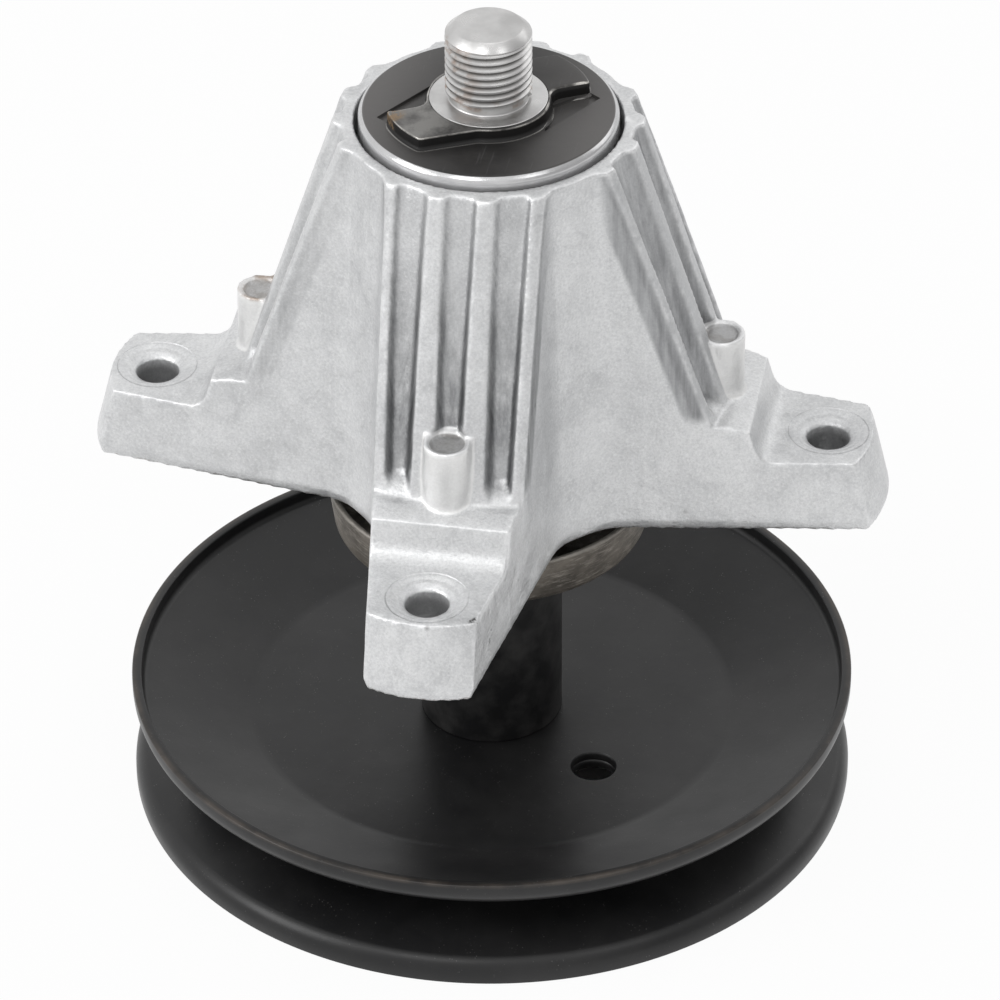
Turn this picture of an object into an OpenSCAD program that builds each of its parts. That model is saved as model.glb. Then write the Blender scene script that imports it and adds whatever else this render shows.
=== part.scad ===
// Mower deck spindle: a cast four-legged housing that carries a belt-driven shaft in two ball bearings.
// The origin is on the shaft's axis in the plane of the pulley's lower rim, with the blade end up (+Z).
// The legs point along X and Y. All sizes are in millimetres.

/* [Pulley] */
// Outer diameter of the belt pulley
pulley_d = 139.7; // [120:0.1:160]
// Height of the pulley from rim to rim
pulley_h = 23.6; // [21:0.1:30]
// Thickness of each pressed sheet
sheet_t = 1.9; // [1.5:0.1:2.2]
// Full angle of the belt groove, in degrees
groove_angle = 36; // [32:1:40]
// Inside radius of the bend between web and flange
crease_bend_r = 6; // [4:0.5:8]
// Outside radius of the bend at the rim
rim_bend_r = 3.4; // [2.6:0.1:4]
// Height of the upright lip at each rim
lip_h = 1.9; // [1:0.1:2.5]
// Diameter of the round holes in the web
web_hole_d = 8.4; // [5:0.1:12]
// Distance of the web holes from the axis
web_hole_r = 28.8; // [24:0.1:36]
// Direction of the web holes, in degrees from +X
web_hole_turn = -37; // [-90:1:90]

/* [Shaft] */
// Outer diameter of the threads at both ends
stud_d = 16; // [14:0.5:18]
// Height of the blade stud above its collar
stud_h = 15; // [12:0.1:24]
// Height of the chamfer at the stud's end
stud_chamfer_h = 1.3; // [0.8:0.1:2]
// Diameter of the flat crown inside the chamfer
stud_crown_d = 12.6; // [10:0.1:13.4]
// Diameter of the relief below the thread
relief_d = 14.4; // [12:0.1:15]
// Height of the relief below the thread
relief_h = 1.6; // [1:0.1:3]
// Diameter of the collar that the blade clamps against
collar_d = 21.8; // [21:0.1:24]
// Height of the collar's face above the key
collar_proud = 0.1; // [0.1:0.1:1]
// Distance across the two flats that drive the pulley
drive_flats_w = 13.6; // [12:0.1:13.8]

/* [Bearings] */
// Bore of each ball bearing
bearing_bore = 20; // [20:0.5:20.5]
// Outer diameter of each ball bearing
bearing_od = 47; // [46:0.5:48]
// Width of each ball bearing
bearing_w = 14; // [13:0.5:16]
// Diameter of the balls as a share of the section between bore and outer diameter
ball_share = 0.585; // [0.52:0.005:0.61]
// Number of balls in each bearing
ball_count = 8; // [6:1:9]
// Thickness of each seal
seal_t = 0.7; // [0.5:0.1:1]

/* [Spacers] */
// Outer diameter of the black hub spacer between pulley and bearing
hub_spacer_d = 27.3; // [26.4:0.1:28]
// Length of the hub spacer
hub_spacer_l = 58.9; // [50:0.1:75]
// Outer diameter of the spacer between the inner races
race_spacer_d = 26; // [24:0.5:30]
// Length of the spacer between the inner races
race_spacer_l = 40.6; // [38:0.1:50]

/* [Dust cup] */
// Outer diameter of the cup at its open edge
cup_d = 62.2; // [58:0.1:66]
// Outer diameter of the cup at its floor
cup_floor_d = 59.4; // [54:0.1:59.4]
// Height of the cup
cup_h = 10.1; // [8:0.1:12]
// Thickness of the cup's sheet
cup_t = 1.2; // [0.8:0.1:1.6]
// Outside radius of the bend at the cup's floor
cup_bend_r = 2.2; // [1.8:0.1:3]
// Gap between the cup's edge and the plane of the feet
cup_gap = 2.1; // [1:0.1:4]
// Height of the neck that grips the hub spacer
cup_neck_h = 3.6; // [2:0.1:6]

/* [Key disc] */
// Outer diameter of the key disc
disc_d = 47.9; // [47:0.1:48.4]
// Thickness of the key disc
disc_t = 7.2; // [5:0.1:8]
// Height of the hub under the disc that presses on the bearing
disc_hub_h = 1.4; // [1:0.1:2]
// Height of the key above the disc
key_h = 2.5; // [2:0.1:5]
// Radius of the key's two arms
key_r = 19.1; // [17:0.1:20.5]
// Width of the ring of the key round the collar
key_ring_w = 0.7; // [0.5:0.1:1]
// Height of the chamfer on the disc's edge
disc_chamfer_h = 0.9; // [0.5:0.1:1.2]
// Width of the chamfer on the disc's edge
disc_chamfer_w = 1.06; // [0.5:0.02:1.4]
// Depth of the flats pressed beside the key
key_flat_depth = 0.7; // [0.2:0.1:1]
// Size of the chamfer on top of the flanks that face those flats
flank_chamfer = 1.1; // [0.2:0.1:1.5]

/* [Housing] */
// Diameter of the bolt circle
bolt_circle_d = 128.6; // [124:0.1:132]
// Diameter of the bolt holes in the legs
bolt_hole_d = 8; // [6:0.1:9]
// Distance from a bolt hole's centre to the tip of its leg
tip_margin = 11.7; // [10:0.1:14]
// Height of the bolt pads above the plane of the feet
pad_h = 15; // [11:0.1:17]
// Height of the shelf above the bolt pads
shelf_rise = 6.6; // [5:0.1:9]
// Distance from a bolt hole's centre in to the shelf's edge
shelf_setback = 13.3; // [12:0.1:14.5]
// Width of the shelf below the ribs
shelf_w = 4.2; // [3:0.1:6]
// Radius of the casting between the ribs at its top rim
rim_r = 26.9; // [26.6:0.1:27.4]
// Height of the ribs above the casting at the top rim
rim_rib_h = 1.6; // [1:0.1:2.4]
// Height of the ribs at their foot
foot_rib_h = 3.4; // [2.5:0.1:4]
// Radius of the valleys between the legs in the plane of the feet
valley_r = 30.3; // [29.4:0.1:31]
// Radius of the fillets between the legs
valley_fillet_r = 15; // [10:0.5:16]
// Angle at which a leg narrows along each side, in degrees
leg_taper = 9.1; // [7:0.1:11]
// Draft of the legs' sides, in degrees
side_draft = 2.6; // [1:0.1:4]
// Height of the key disc's face above the casting's rim
disc_proud = 2.2; // [1:0.1:3]
// Depth of the counterbore in which the key disc turns
counterbore_depth = 6; // [5:0.1:6.8]
// Radial gap between the key disc and its counterbore
disc_gap = 0.8; // [0.6:0.05:0.9]
// Distance from the plane of the feet in to the lower bearing
bearing_recess = 2.1; // [1:0.1:4]
// Diameter of the round boss on each leg
boss_d = 8.9; // [7:0.1:10]
// Height of the round boss above the shelf
boss_h = 13.4; // [9:0.1:15]
// Wall left round the cored pockets
core_wall = 4.5; // [3.5:0.1:5.5]

/* [Fasteners] */
// Thickness of the washer under the pulley nut
washer_t = 1.4; // [1:0.1:1.6]
// Outer diameter of the washer
washer_d = 30; // [27:0.5:34]
// Height of the pulley nut
nut_h = 8; // [6:0.1:8.2]
// Distance across the flats of the pulley nut
nut_af = 24; // [22:0.5:26]

/* [Hidden] */

// Overrun of every cut past the face it opens
over = 1;
// Facets of the round parts, and of the arcs in drawn outlines
$fn = 96;
arc_steps = 5;
valley_steps = 12;
tip_steps = 10;
leg_count = 4;
quarter = 360 / leg_count;

// Clearance between the shaft and the spacers that slide over it
slide_gap = 0.1;
// Clearance of the balls in their races and cages
ball_gap = 0.06;

// Heights of the stack on the shaft, from the floor up
mid_z = pulley_h / 2;
web_top_z = mid_z + sheet_t;
web_bottom_z = mid_z - sheet_t;
lower_bearing_z = web_top_z + hub_spacer_l;
race_spacer_z = lower_bearing_z + bearing_w;
upper_bearing_z = race_spacer_z + race_spacer_l;
disc_seat_z = upper_bearing_z + bearing_w;
disc_bottom_z = disc_seat_z + disc_hub_h;
disc_face_z = disc_bottom_z + disc_t;
key_top_z = disc_face_z + key_h;
collar_z = key_top_z + collar_proud;
stud_top_z = collar_z + stud_h;
shaft_end_z = web_bottom_z - washer_t - nut_h;

// Levels of the housing
foot_z = lower_bearing_z - bearing_recess;
rim_z = disc_face_z - disc_proud;
pad_z = foot_z + pad_h;
shelf_z = pad_z + shelf_rise;
cup_top_z = foot_z - cup_gap;
cup_floor_z = cup_top_z - cup_h;

// Radii
shaft_r = bearing_bore / 2;
stud_r = stud_d / 2;
collar_r = collar_d / 2;
bearing_r = bearing_od / 2;
pitch_r = (bearing_bore + bearing_od) / 4;
ball_r = ball_share * (bearing_od - bearing_bore) / 4;
track_r = ball_r + ball_gap;
bolt_r = bolt_circle_d / 2;
leg_reach = bolt_r + tip_margin;
shelf_edge_r = bolt_r - shelf_setback;
rib_foot_r = shelf_edge_r - shelf_w;
disc_r = disc_d / 2;

// Returns points along an arc about a centre, from one angle to another
function arc(centre, r, from, to, steps) =
    [for (i = [0 : steps]) centre + r * [cos(from + (to - from) * i / steps), sin(from + (to - from) * i / steps)]];

function unit(v) = v / norm(v);

// Returns the arc that rounds the corner b between the points a and c
function rounded(a, b, c, r, steps) =
    let (
        u = unit(a - b),
        v = unit(c - b),
        half = acos(u * v) / 2,
        centre = b + unit(u + v) * r / sin(half),
        start = b + u * r / tan(half) - centre,
        end = b + v * r / tan(half) - centre,
        from = atan2(start.y, start.x),
        swing = atan2(end.y, end.x) - from,
        turn = swing > 180 ? swing - 360 : swing < -180 ? swing + 360 : swing
    )
    arc(centre, r, from, from + turn, steps);

// Joins rings of equally many points, listed from the bottom up and anticlockwise seen from above
module loft(rings) {
    n = len(rings[0]);
    layers = len(rings);
    points = [for (ring = rings) each ring];
    sides = [
        for (k = [0 : layers - 2], i = [0 : n - 1], part = [0 : 1])
            let (a = k * n + i, b = k * n + (i + 1) % n)
            part == 0 ? [a, a + n, b + n] : [a, b + n, b]
    ];
    bottom = [for (i = [0 : n - 1]) i];
    top = [for (i = [n - 1 : -1 : 0]) (layers - 1) * n + i];
    polyhedron(points, concat([bottom], sides, [top]), convexity = 10);
}

module ring(outer_r, inner_r, h) {
    difference() {
        cylinder(r = outer_r, h = h);
        translate([0, 0, -over])
            cylinder(r = inner_r, h = h + 2 * over);
    }
}

// Pulley

flange_lean = groove_angle / 2;
crease_outer_r = crease_bend_r + sheet_t;
rim_inner_r = rim_bend_r - sheet_t;
rim_centre = [pulley_d / 2 - rim_bend_r, pulley_h / 2 - lip_h];
flange_end = rim_centre + rim_bend_r * [sin(flange_lean), -cos(flange_lean)];
crease_rise = crease_outer_r * (1 - cos(flange_lean));
flange_run = (flange_end.y - crease_rise) / tan(flange_lean);
crease_r = flange_end.x - flange_run - crease_outer_r * sin(flange_lean);

// Half section of one pressed disc, its web lying on the pulley's middle plane and its flange rising
function disc_outline() =
    let (
        crease_centre = [crease_r, crease_outer_r],
        foot = -90,
        lean = foot + flange_lean
    )
    concat(
        [[0, 0]],
        arc(crease_centre, crease_outer_r, foot, lean, arc_steps),
        arc(rim_centre, rim_bend_r, lean, 0, arc_steps),
        [[pulley_d / 2, pulley_h / 2], [pulley_d / 2 - sheet_t, pulley_h / 2]],
        arc(rim_centre, rim_inner_r, 0, lean, arc_steps),
        arc(crease_centre, crease_bend_r, lean, foot, arc_steps),
        [[0, sheet_t]]
    );

// Hole with two flats that fits over the drive end of the shaft
module drive_hole() {
    intersection() {
        circle(r = stud_r + slide_gap);
        square([drive_flats_w + 2 * slide_gap, stud_d + 2 * over], center = true);
    }
}

module pressed_disc() {
    difference() {
        rotate_extrude()
            polygon(disc_outline());
        for (turn = [0, 180])
            rotate([0, 0, web_hole_turn + turn])
                translate([web_hole_r, 0, -over])
                    cylinder(d = web_hole_d, h = sheet_t + 2 * over, $fn = 48);
        translate([0, 0, -over])
            linear_extrude(sheet_t + 2 * over)
                drive_hole();
    }
}

module pulley_upper_disc() {
    color("#26272a")
        translate([0, 0, mid_z])
            pressed_disc();
}

module pulley_lower_disc() {
    color("#222326")
        translate([0, 0, mid_z])
            mirror([0, 0, 1])
                pressed_disc();
}

// Shaft and what is stacked on it

// Drive end of the shaft: a threaded end with two flats, chamfered at its tip
module drive_end() {
    intersection() {
        rotate_extrude()
            polygon([
                [0, shaft_end_z],
                [stud_crown_d / 2, shaft_end_z],
                [stud_r, shaft_end_z + stud_chamfer_h],
                [stud_r, web_top_z],
                [0, web_top_z]
            ]);
        translate([0, 0, (shaft_end_z + web_top_z) / 2])
            cube([drive_flats_w, stud_d + 2 * over, web_top_z - shaft_end_z + 2 * over], center = true);
    }
}

module shaft() {
    thread_z = collar_z + relief_h;
    color("#b9babb") {
        rotate_extrude()
            polygon([
                [0, web_top_z],
                [shaft_r, web_top_z],
                [shaft_r, disc_seat_z],
                [collar_r, disc_seat_z],
                [collar_r, collar_z],
                [relief_d / 2, collar_z],
                [relief_d / 2, thread_z],
                [stud_r, thread_z],
                [stud_r, stud_top_z - stud_chamfer_h],
                [stud_crown_d / 2, stud_top_z],
                [0, stud_top_z]
            ]);
        drive_end();
    }
}

module hub_spacer() {
    color("#1c1c1e")
        translate([0, 0, web_top_z])
            ring(hub_spacer_d / 2, shaft_r + slide_gap, hub_spacer_l);
}

module race_spacer() {
    color("#8f9092")
        translate([0, 0, race_spacer_z])
            ring(race_spacer_d / 2, shaft_r + slide_gap, race_spacer_l);
}

module washer() {
    color("#9a9a96")
        translate([0, 0, web_bottom_z - washer_t])
            ring(washer_d / 2, stud_r + slide_gap, washer_t);
}

module pulley_nut() {
    chamfer_r = nut_af / 2;
    corner_r = chamfer_r / cos(30);
    rise = (corner_r - chamfer_r) * tan(30);
    color("#a7a79f")
        translate([0, 0, shaft_end_z])
            difference() {
                intersection() {
                    cylinder(r = corner_r, h = nut_h, $fn = 6);
                    rotate_extrude()
                        polygon([
                            [0, 0],
                            [chamfer_r, 0],
                            [corner_r, rise],
                            [corner_r, nut_h - rise],
                            [chamfer_r, nut_h],
                            [0, nut_h]
                        ]);
                }
                translate([0, 0, -over])
                    cylinder(d = stud_d, h = nut_h + 2 * over);
            }
}

// Pressed cup that rides on the hub spacer and shields the lower bearing
module dust_cup() {
    top_r = cup_d / 2;
    floor_r = cup_floor_d / 2;
    neck_r = hub_spacer_d / 2;
    outer = concat(
        [[neck_r, 0]],
        rounded([neck_r, 0], [floor_r, 0], [top_r, cup_h], cup_bend_r, arc_steps),
        [[top_r, cup_h]]
    );
    inner_foot = [floor_r - cup_t, cup_t];
    inner = concat(
        [[top_r - cup_t, cup_h]],
        rounded([top_r - cup_t, cup_h], inner_foot, [neck_r, cup_t], cup_bend_r - cup_t, arc_steps),
        [[neck_r + cup_t, cup_t], [neck_r + cup_t, cup_neck_h], [neck_r, cup_neck_h]]
    );
    color("#6f675e")
        translate([0, 0, cup_floor_z])
            rotate_extrude()
                polygon(concat(outer, inner));
}

// Bearings

// Share of the ball's radius that the shoulders of the races cover
shoulder_share = 0.85;
inner_shoulder_r = pitch_r - shoulder_share * ball_r;
outer_shoulder_r = pitch_r + shoulder_share * ball_r;
// Share of the ball's radius that the cage is thick, each way from the pitch circle, and tall
cage_thick_share = 0.3;
cage_height_share = 1.2;

module ball_track() {
    translate([0, 0, bearing_w / 2])
        rotate_extrude()
            translate([pitch_r, 0])
                circle(r = track_r, $fn = 48);
}

module outer_race(z) {
    color("#a9abad")
        translate([0, 0, z])
            difference() {
                ring(bearing_r, outer_shoulder_r, bearing_w);
                ball_track();
            }
}

module inner_race(z) {
    color("#a9abad")
        translate([0, 0, z])
            difference() {
                ring(inner_shoulder_r, shaft_r, bearing_w);
                ball_track();
            }
}

module at_balls(z) {
    translate([0, 0, z + bearing_w / 2])
        for (i = [0 : ball_count - 1])
            rotate([0, 0, i * 360 / ball_count])
                translate([pitch_r, 0, 0])
                    children();
}

module balls(z) {
    color("#c9cbce")
        at_balls(z)
            sphere(r = ball_r, $fn = 32);
}

module cage(z) {
    cage_h = 2 * cage_height_share * ball_r;
    cage_t = cage_thick_share * ball_r;
    color("#3a3327")
        difference() {
            translate([0, 0, z + (bearing_w - cage_h) / 2])
                ring(pitch_r + cage_t, pitch_r - cage_t, cage_h);
            at_balls(z)
                rotate([0, 90, 0])
                    cylinder(r = track_r, h = 2 * (cage_t + over), center = true, $fn = 48);
        }
}

seal_inset = seal_t;
seal_gap = 0.4;

// Seal that is held in the outer race and clears the inner race
module seal(z) {
    color("#2b2b2b")
        translate([0, 0, z])
            ring(outer_shoulder_r, inner_shoulder_r + seal_gap, seal_t);
}

module upper_outer_race() outer_race(upper_bearing_z);
module upper_inner_race() inner_race(upper_bearing_z);
module upper_balls() balls(upper_bearing_z);
module upper_cage() cage(upper_bearing_z);
module upper_seal_top() seal(upper_bearing_z + bearing_w - seal_t - seal_inset);
module upper_seal_bottom() seal(upper_bearing_z + seal_inset);
module lower_outer_race() outer_race(lower_bearing_z);
module lower_inner_race() inner_race(lower_bearing_z);
module lower_balls() balls(lower_bearing_z);
module lower_cage() cage(lower_bearing_z);
module lower_seal_top() seal(lower_bearing_z + bearing_w - seal_t - seal_inset);
module lower_seal_bottom() seal(lower_bearing_z + seal_inset);

// Key disc

key_ring_r = collar_r + key_ring_w;
// Turn of the edge that runs from an arm's tip past the collar, in degrees, and its distance from the axis
key_edge_turn = 26;
key_edge_offset_share = 0.55;
// Turn of the arm's other edge, in degrees, and its distance from the axis
arm_edge_turn = 29;
arm_edge_offset_share = 0.08;
key_fillet_share = 0.14;

// Outline of the S-shaped key: a ring round the collar and two opposite arms
module key_outline() {
    fillet_r = key_fillet_share * key_r;
    offset(r = -fillet_r)
        offset(r = fillet_r) {
            circle(r = key_ring_r);
            for (turn = [0, 180])
                rotate([0, 0, turn])
                    intersection() {
                        circle(r = key_r);
                        rotate([0, 0, key_edge_turn])
                            translate([0, -key_r])
                                square([key_r, key_r + key_edge_offset_share * key_r]);
                        rotate([0, 0, arm_edge_turn])
                            translate([0, -arm_edge_offset_share * key_r])
                                square([key_r, 2 * key_r]);
                    }
        }
}

// Outline of the two shallow flats between the arms and the ring
flat_shares = [[0.6, -0.33], [1.03, 0.35], [0.9, 0.44], [0.55, 0.1]];

module key_flats() {
    for (turn = [0, 180])
        rotate([0, 0, turn])
            polygon([for (p = flat_shares) key_r * p]);
}

// Wedges that chamfer the top of the flanks, from the arms' tips in to the ring
module flank_chamfers() {
    for (turn = [0, 180])
        rotate([0, 0, turn + arm_edge_turn])
            translate([key_ring_r, -arm_edge_offset_share * key_r, key_top_z])
                rotate([0, 90, 0])
                    linear_extrude(key_r)
                        polygon([
                            [-over, -over],
                            [flank_chamfer + over, -over],
                            [-over, flank_chamfer + over]
                        ]);
}

module drive_key_disc() {
    color("#333437")
        difference() {
            union() {
                translate([0, 0, disc_seat_z])
                    cylinder(r = inner_shoulder_r, h = disc_hub_h);
                translate([0, 0, disc_bottom_z])
                    cylinder(r = disc_r, h = disc_t - disc_chamfer_h);
                translate([0, 0, disc_face_z - disc_chamfer_h])
                    cylinder(r1 = disc_r, r2 = disc_r - disc_chamfer_w, h = disc_chamfer_h);
                translate([0, 0, disc_face_z - disc_chamfer_h])
                    linear_extrude(key_h + disc_chamfer_h)
                        key_outline();
            }
            translate([0, 0, disc_face_z - key_flat_depth])
                linear_extrude(key_flat_depth + over)
                    difference() {
                        key_flats();
                        key_outline();
                    }
            flank_chamfers();
            translate([0, 0, disc_seat_z - over])
                cylinder(r = collar_r, h = key_top_z - disc_seat_z + 2 * over);
        }
}

// Housing casting

rib_rim_r = rim_r + rim_rib_h;
rib_slope = (rib_foot_r - rib_rim_r) / (rim_z - shelf_z);
groove_slope = (rib_foot_r - foot_rib_h - rim_r) / (rim_z - shelf_z);
// Radii at a height of the cone on which the ribs end, and of the floor of the grooves
function rib_r(z) = rib_rim_r + rib_slope * (rim_z - z);
function groove_r(z) = rim_r + groove_slope * (rim_z - z);

// Distance from the axis to a leg's side face at the feet, measured square to the face
valley_half = quarter / 2 - leg_taper;
side_distance = (valley_r + valley_fillet_r) * cos(valley_half) - valley_fillet_r;

// Tip of a leg: an arc drawn about a point on the leg's centre line
tip_arc_r = 24;
tip_draft = 14;
parting_h = 2.2;
edge_inset = 0.7;

// Radius of the round body between the legs at a height
function body_r(z) = rim_r + (valley_r - edge_inset - rim_r) * (rim_z - z) / (rim_z - foot_z);

// Plan outline of the four legs at a height, with its edges moved in by an inset
function leg_outline(z, reach, inset) =
    let (
        side = side_distance - inset - (z - foot_z) * tan(side_draft),
        fillet_at = (side + valley_fillet_r) / cos(valley_half),
        tip_centre = reach - tip_arc_r,
        tip_turn = asin((side - tip_centre * sin(leg_taper)) / tip_arc_r) - leg_taper,
        fillet_turn = 90 + leg_taper
    )
    [
        for (leg = [0 : leg_count - 1])
            let (turn = leg * quarter)
            each concat(
                [
                    for (p = arc([tip_centre, 0], tip_arc_r, -tip_turn, tip_turn, tip_steps))
                        [p.x * cos(turn) - p.y * sin(turn), p.x * sin(turn) + p.y * cos(turn), z]
                ],
                [
                    for (p = arc(
                        fillet_at * [cos(turn + quarter / 2), sin(turn + quarter / 2)],
                        valley_fillet_r, turn - fillet_turn, turn + quarter + fillet_turn - 360, valley_steps))
                        let (q = p * max(1, body_r(z) / norm(p)))
                        [q.x, q.y, z]
                ]
            )
    ];

// The legs and the space above them, with drafted sides and filleted valleys
module leg_star() {
    parting_z = foot_z + parting_h;
    top_z = rim_z + over;
    drop = 2 * over;
    low_inset = edge_inset * (parting_h + drop) / parting_h;
    loft([
        leg_outline(foot_z - drop, leg_reach - low_inset, low_inset),
        leg_outline(parting_z, leg_reach, 0),
        leg_outline(top_z, leg_reach - (top_z - parting_z) * tan(tip_draft), 0)
    ]);
}

step_lean = 17;
step_fillet_r = 4;
shelf_fall = 1.1;

// Radial section of a leg below the ribs: pad, step and shelf
function leg_section() =
    let (
        past_tip = leg_reach + over,
        low_z = foot_z - over,
        step_foot = [shelf_edge_r + shelf_rise * tan(step_lean), pad_z],
        edge = [shelf_edge_r, shelf_z],
        shelf_top_z = shelf_z + shelf_fall
    )
    concat(
        [[rim_r, low_z], [past_tip, low_z], [past_tip, pad_z]],
        rounded([past_tip, pad_z], step_foot, edge, step_fillet_r, arc_steps),
        [edge, [rib_foot_r, shelf_top_z], [rim_r, shelf_top_z]]
    );

module radial_prism(outline, width) {
    rotate([90, 0, 0])
        linear_extrude(width, center = true)
            polygon(outline);
}

// The ribbed cone above the shelves, before its grooves are cut
module rib_cone() {
    rotate_extrude()
        polygon([
            [0, foot_z - 1.5 * over],
            [rib_r(foot_z), foot_z - 1.5 * over],
            [rib_r(rim_z), rim_z],
            [0, rim_z]
        ]);
}

// Grooves between the ribs: place across the leg, and half widths of mouth and floor at the top and the foot
side_groove_at = 9.3;
groove_half_w = 3.45;
side_groove_half_w = 3.55;
groove_narrowing = 0.7;
groove_floor_inset = 1.4;
groove_foot_inset = 1.6;
groove_foot_rise = 4.4;
groove_runout = 0.3;
// Widening of the cutter by the time that it is clear of the ribs
groove_flare = 0.5;

// Point at a distance across the leg on a circle about the axis
function across(r, y, z) = [sqrt(pow(r, 2) - pow(y, 2)), y, z];

// Four corners of a groove at a height, from its floor out past the ribs
function groove_ring(at, half, floor_half, floor_r, z) =
    let (
        out_r = rib_r(z) + over,
        mouth_half = half + groove_flare
    )
    [
        across(floor_r, at - floor_half, z),
        across(out_r, at - mouth_half, z),
        across(out_r, at + mouth_half, z),
        across(floor_r, at + floor_half, z)
    ];

module groove(at, half) {
    low_z = shelf_z + shelf_fall;
    end_z = shelf_z + groove_foot_rise;
    low_half = half - groove_narrowing;
    low_floor = low_half - groove_foot_inset;
    loft([
        groove_ring(at, low_half, low_floor, rib_r(low_z) + groove_runout, low_z),
        groove_ring(at, low_half, low_floor, groove_r(end_z), end_z),
        groove_ring(at, half, half - groove_floor_inset, groove_r(rim_z + over), rim_z + over)
    ]);
}

module leg_grooves() {
    groove(0, groove_half_w);
    for (side = [-1, 1])
        groove(side * side_groove_at, side_groove_half_w);
}

boss_top_z = shelf_z + boss_h;
boss_out_share = 0.15;
boss_at = rib_r(boss_top_z) + boss_out_share * boss_d;
boss_recess_depth = 0.7;
boss_recess_share = 0.79;

module at_legs() {
    for (leg = [0 : leg_count - 1])
        rotate([0, 0, leg * quarter])
            children();
}

// Cored pockets under each leg, one each side of a middle web
core_web_t = 4;
bolt_wall = 5.6;
core_end_r = bolt_r - bolt_hole_d / 2 - bolt_wall;
core_narrowing = 1.2;

function core_section() =
    let (
        low_z = foot_z - over,
        roof_z = shelf_z - core_wall,
        high_z = shelf_z + 2 * core_wall
    )
    [
        [bearing_r + core_wall, low_z],
        [core_end_r, low_z],
        [core_end_r - core_narrowing, pad_z - core_wall],
        [shelf_edge_r - core_wall, roof_z],
        [groove_r(roof_z) - core_wall, roof_z],
        [groove_r(high_z) - core_wall, high_z],
        [bearing_r, high_z]
    ];

module leg_cores() {
    inset = core_wall / cos(leg_taper);
    inner = bearing_r + core_wall;
    half_at_axis = side_distance / cos(leg_taper) - inset;
    difference() {
        intersection() {
            radial_prism(core_section(), 2 * half_at_axis);
            translate([0, 0, foot_z - over])
                linear_extrude(rim_z - foot_z)
                    for (side = [-1, 1])
                        polygon([
                            [0, side * core_web_t / 2],
                            [core_end_r, side * core_web_t / 2],
                            [core_end_r, side * (half_at_axis - core_end_r * tan(leg_taper) - core_narrowing)],
                            [0, side * (half_at_axis - core_narrowing)]
                        ]);
        }
        translate([0, 0, foot_z - 2 * over])
            cylinder(r = inner, h = rim_z - foot_z + 2 * over);
    }
}

countersink_r = 6.7;
countersink_depth = 1.4;

module bolt_hole() {
    hole_r = bolt_hole_d / 2;
    flare = (countersink_r - hole_r) / countersink_depth;
    translate([bolt_r, 0, 0])
        rotate_extrude($fn = 48)
            polygon([
                [0, foot_z - over],
                [hole_r, foot_z - over],
                [hole_r, pad_z - countersink_depth],
                [countersink_r + flare * over, pad_z + over],
                [0, pad_z + over]
            ]);
}

// Bore through the casting: bearing seats, shoulders between them and the counterbore of the key disc.
// The same turned cut faces the feet.
module housing_bore() {
    shoulder_r = outer_shoulder_r;
    rotate_extrude()
        polygon([
            [0, foot_z - 3 * over],
            [leg_reach + 2 * over, foot_z - 3 * over],
            [leg_reach + 2 * over, foot_z],
            [bearing_r, foot_z],
            [bearing_r, race_spacer_z],
            [shoulder_r, race_spacer_z],
            [shoulder_r, upper_bearing_z],
            [bearing_r, upper_bearing_z],
            [bearing_r, rim_z - counterbore_depth],
            [disc_r + disc_gap, rim_z - counterbore_depth],
            [disc_r + disc_gap, rim_z + over],
            [0, rim_z + over]
        ]);
}

module housing() {
    color("#c3c8cc")
        difference() {
            union() {
                difference() {
                    intersection() {
                        leg_star();
                        union() {
                            rib_cone();
                            at_legs()
                                radial_prism(leg_section(), bearing_od);
                        }
                    }
                    at_legs()
                        leg_grooves();
                }
                at_legs()
                    translate([boss_at, 0, pad_z - core_wall / 2])
                        cylinder(d = boss_d, h = boss_top_z - pad_z + core_wall / 2, $fn = 48);
            }
            housing_bore();
            at_legs() {
                bolt_hole();
                leg_cores();
                translate([boss_at, 0, boss_top_z - boss_recess_depth])
                    cylinder(d = boss_recess_share * boss_d, h = boss_recess_depth + over, $fn = 48);
            }
        }
}

housing();
shaft();
drive_key_disc();
race_spacer();
hub_spacer();
dust_cup();
pulley_upper_disc();
pulley_lower_disc();
washer();
pulley_nut();
upper_outer_race();
upper_inner_race();
upper_balls();
upper_cage();
upper_seal_top();
upper_seal_bottom();
lower_outer_race();
lower_inner_race();
lower_balls();
lower_cage();
lower_seal_top();
lower_seal_bottom();
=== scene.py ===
"""Finished model of a mower deck spindle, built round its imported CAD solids."""
import math

import bmesh
import bpy
from bpy.props import FloatProperty, FloatVectorProperty, IntProperty, PointerProperty
from mathutils import Matrix, Vector


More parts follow.
